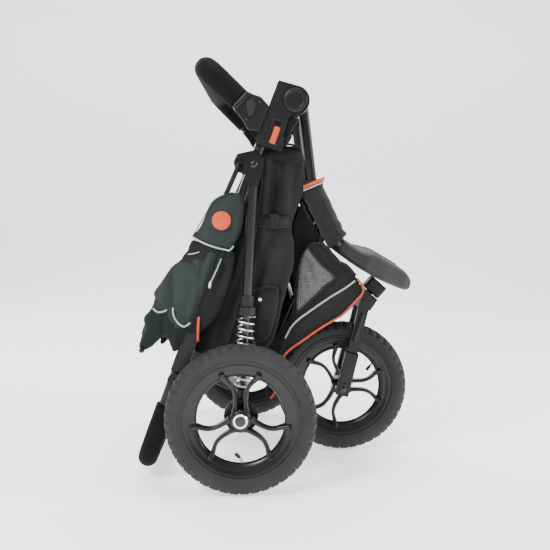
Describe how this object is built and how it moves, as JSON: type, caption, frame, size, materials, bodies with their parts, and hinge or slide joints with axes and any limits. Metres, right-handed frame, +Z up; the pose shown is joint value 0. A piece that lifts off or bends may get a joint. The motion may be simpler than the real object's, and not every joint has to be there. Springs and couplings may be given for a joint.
{
  "type": "baby stroller",
  "caption": "Folded all-terrain pushchair with air tyres, sprung rear legs, swivel front fork, folding hood, bumper bar and under-seat basket.",
  "frame": {"origin": "centre of the footprint on the ground, in the plane of symmetry, stroller folded", "axes": "+X towards the front wheel, +Y to the rider's left, +Z up"},
  "size_m": [0.6024, 0.614, 0.8747],
  "materials": {
    "frame_paint": "satin black powder coat",
    "moulded_plastic": "fine-grained black nylon",
    "rim_plastic": "satin black moulding",
    "tyre_rubber": "matt with moulded tread",
    "bright_steel": "bright plated",
    "orange_plastic": "satin",
    "grip_foam": "dense matt foam",
    "black_fabric": "woven polyester",
    "hood_fabric": "woven polyester, grey-green",
    "trim_orange": "corded piping",
    "trim_grey": "reflective piping",
    "mesh_fabric": "open knitted mesh",
    "brass": "polished"
  },
  "bodies": {
    "rear_frame": {"rear_leg_left": "frame_paint", "rear_leg_right": "frame_paint", "spring_collar_left": "moulded_plastic", "spring_collar_right": "moulded_plastic", "spring_left": "bright_steel", "spring_right": "bright_steel", "rear_u_frame": "frame_paint"},
    "rear_axle": {"rear_axle_tube": "frame_paint", "hub_carrier_left": "moulded_plastic", "hub_carrier_right": "moulded_plastic"},
    "brake_pedal": {"brake_pedal": "moulded_plastic"},
    "rear_wheel_left": {"rear_tyre_left": "tyre_rubber", "rear_rim_left": "rim_plastic"},
    "rear_wheel_right": {"rear_tyre_right": "tyre_rubber", "rear_rim_right": "rim_plastic"},
    "hub_button_left": {"hub_button_left": "bright_steel"},
    "hub_button_right": {"hub_button_right": "bright_steel"},
    "handle_frame": {"handle_tube_left": "frame_paint", "handle_tube_right": "frame_paint", "hinge_housing_left": "moulded_plastic", "hinge_housing_right": "moulded_plastic", "hinge_cap_left": "moulded_plastic", "hinge_cap_right": "moulded_plastic", "leg_bracket_left": "moulded_plastic", "leg_bracket_right": "moulded_plastic", "adjuster_housing_left": "moulded_plastic", "adjuster_housing_right": "moulded_plastic", "handle_cross_tube": "frame_paint", "hood_rear": "hood_fabric"},
    "release_slider_left": {"release_slider_left": "orange_plastic"},
    "release_slider_right": {"release_slider_right": "orange_plastic"},
    "handlebar": {"handlebar_joint_left": "moulded_plastic", "handlebar_joint_right": "moulded_plastic", "handlebar_tube": "frame_paint", "handlebar_grip": "grip_foam"},
    "adjuster_button_left": {"adjuster_button_left": "moulded_plastic"},
    "adjuster_button_right": {"adjuster_button_right": "moulded_plastic"},
    "bumper": {"bumper_clip_left": "moulded_plastic", "bumper_clip_right": "moulded_plastic", "bumper_bar": "black_fabric"},
    "bumper_button_left": {"bumper_button_left": "moulded_plastic"},
    "bumper_button_right": {"bumper_button_right": "moulded_plastic"},
    "hood_front": {"hood_front": "hood_fabric"},
    "seat_back": {"seat_back": "black_fabric"},
    "front_frame": {"front_tube_left": "frame_paint", "front_tube_right": "frame_paint", "tube_sleeve_left": "black_fabric", "tube_sleeve_right": "black_fabric", "leg_rest": "black_fabric", "footrest": "moulded_plastic", "front_head_block": "moulded_plastic"},
    "side_links": {"link_frame": "frame_paint", "basket": "black_fabric"},
    "fork": {"fork_upper": "frame_paint"},
    "fork_lower": {"fork_lower_left": "moulded_plastic", "fork_lower_right": "moulded_plastic", "front_axle": "bright_steel"},
    "front_wheel": {"front_tyre": "tyre_rubber", "front_rim": "rim_plastic"}
  },
  "joints": [
    {"name": "fold", "type": "hinge", "parent": "rear_frame", "child": "handle_frame", "pos_m": [-0.0523, 0, 0.658], "axis": [0, 1, 0], "range_deg": [0, 110]},
    {"name": "front_fold", "type": "hinge", "parent": "handle_frame", "child": "front_frame", "pos_m": [0.0297, 0, 0.783], "axis": [0, 1, 0], "range_deg": [-152.2, 0]},
    {"name": "link_fold", "type": "hinge", "parent": "rear_frame", "child": "side_links", "pos_m": [-0.0413, 0, 0.215], "axis": [0, 1, 0], "range_deg": [0, 33.4]},
    {"name": "rear_suspension", "type": "slide", "parent": "rear_frame", "child": "rear_axle", "axis": [0.0533, 0, 0.9986], "range_m": [0, 0.012], "stiffness_N_per_m": 8000, "springref_m": -0.02, "deforming": ["spring_left", "spring_right"]},
    {"name": "brake_pedal_tilt", "type": "hinge", "parent": "rear_axle", "child": "brake_pedal", "pos_m": [-0.1053, 0, 0.158], "axis": [0, 1, 0], "range_deg": [-15, 0]},
    {"name": "rear_wheel_spin_left", "type": "hinge", "parent": "rear_axle", "child": "rear_wheel_left", "pos_m": [-0.0793, 0, 0.1525], "axis": [0, 1, 0], "continuous": true},
    {"name": "hub_button_press_left", "type": "slide", "parent": "rear_wheel_left", "child": "hub_button_left", "axis": [0, -1, 0], "range_m": [0, 0.003], "stiffness_N_per_m": 300},
    {"name": "release_slide_left", "type": "slide", "parent": "handle_frame", "child": "release_slider_left", "axis": [0.3453, 0, 0.9385], "range_m": [0, 0.008], "stiffness_N_per_m": 200},
    {"name": "adjuster_press_left", "type": "slide", "parent": "handle_frame", "child": "adjuster_button_left", "axis": [0, 1, 0], "range_m": [0, 0.003], "stiffness_N_per_m": 300},
    {"name": "bumper_release_left", "type": "slide", "parent": "bumper", "child": "bumper_button_left", "axis": [0, -1, 0], "range_m": [0, 0.002], "stiffness_N_per_m": 300},
    {"name": "rear_wheel_spin_right", "type": "hinge", "parent": "rear_axle", "child": "rear_wheel_right", "pos_m": [-0.0793, 0, 0.1525], "axis": [0, 1, 0], "continuous": true},
    {"name": "hub_button_press_right", "type": "slide", "parent": "rear_wheel_right", "child": "hub_button_right", "axis": [0, 1, 0], "range_m": [0, 0.003], "stiffness_N_per_m": 300},
    {"name": "release_slide_right", "type": "slide", "parent": "handle_frame", "child": "release_slider_right", "axis": [0.3453, 0, 0.9385], "range_m": [0, 0.008], "stiffness_N_per_m": 200},
    {"name": "adjuster_press_right", "type": "slide", "parent": "handle_frame", "child": "adjuster_button_right", "axis": [0, -1, 0], "range_m": [0, 0.003], "stiffness_N_per_m": 300},
    {"name": "bumper_release_right", "type": "slide", "parent": "bumper", "child": "bumper_button_right", "axis": [0, 1, 0], "range_m": [0, 0.002], "stiffness_N_per_m": 300},
    {"name": "handlebar_angle", "type": "hinge", "parent": "handle_frame", "child": "handlebar", "pos_m": [-0.216, 0, 0.2179], "axis": [0, 1, 0], "range_deg": [-40, 40]},
    {"name": "bumper_swing", "type": "hinge", "parent": "handle_frame", "child": "bumper", "pos_m": [-0.0439, 0, 0.7524], "axis": [0, 1, 0], "range_deg": [-35, 0]},
    {"name": "hood_fold", "type": "hinge", "parent": "handle_frame", "child": "hood_front", "pos_m": [-0.0803, 0, 0.662], "axis": [0, 1, 0], "range_deg": [0, 100]},
    {"name": "seat_recline", "type": "hinge", "parent": "handle_frame", "child": "seat_back", "pos_m": [-0.0192, 0, 0.6602], "axis": [0, 1, 0], "range_deg": [-20, 0]},
    {"name": "steering", "type": "hinge", "parent": "front_frame", "child": "fork", "pos_m": [0.2247, 0, 0.387], "axis": [0.6691, 0, 0.7431], "range_deg": [-30, 30]},
    {"name": "front_suspension", "type": "slide", "parent": "fork", "child": "fork_lower", "axis": [0.2339, 0, 0.9723], "range_m": [0, 0.012], "stiffness_N_per_m": 6000, "springref_m": -0.02},
    {"name": "front_wheel_spin", "type": "hinge", "parent": "fork_lower", "child": "front_wheel", "pos_m": [0.1487, 0, 0.1525], "axis": [0, 1, 0], "continuous": true}
  ],
  "couplings": [
    {"joint": "front_fold", "follows": "fold", "ratio": -1.3818},
    {"joint": "link_fold", "follows": "fold", "ratio": 0.3009}
  ]
}
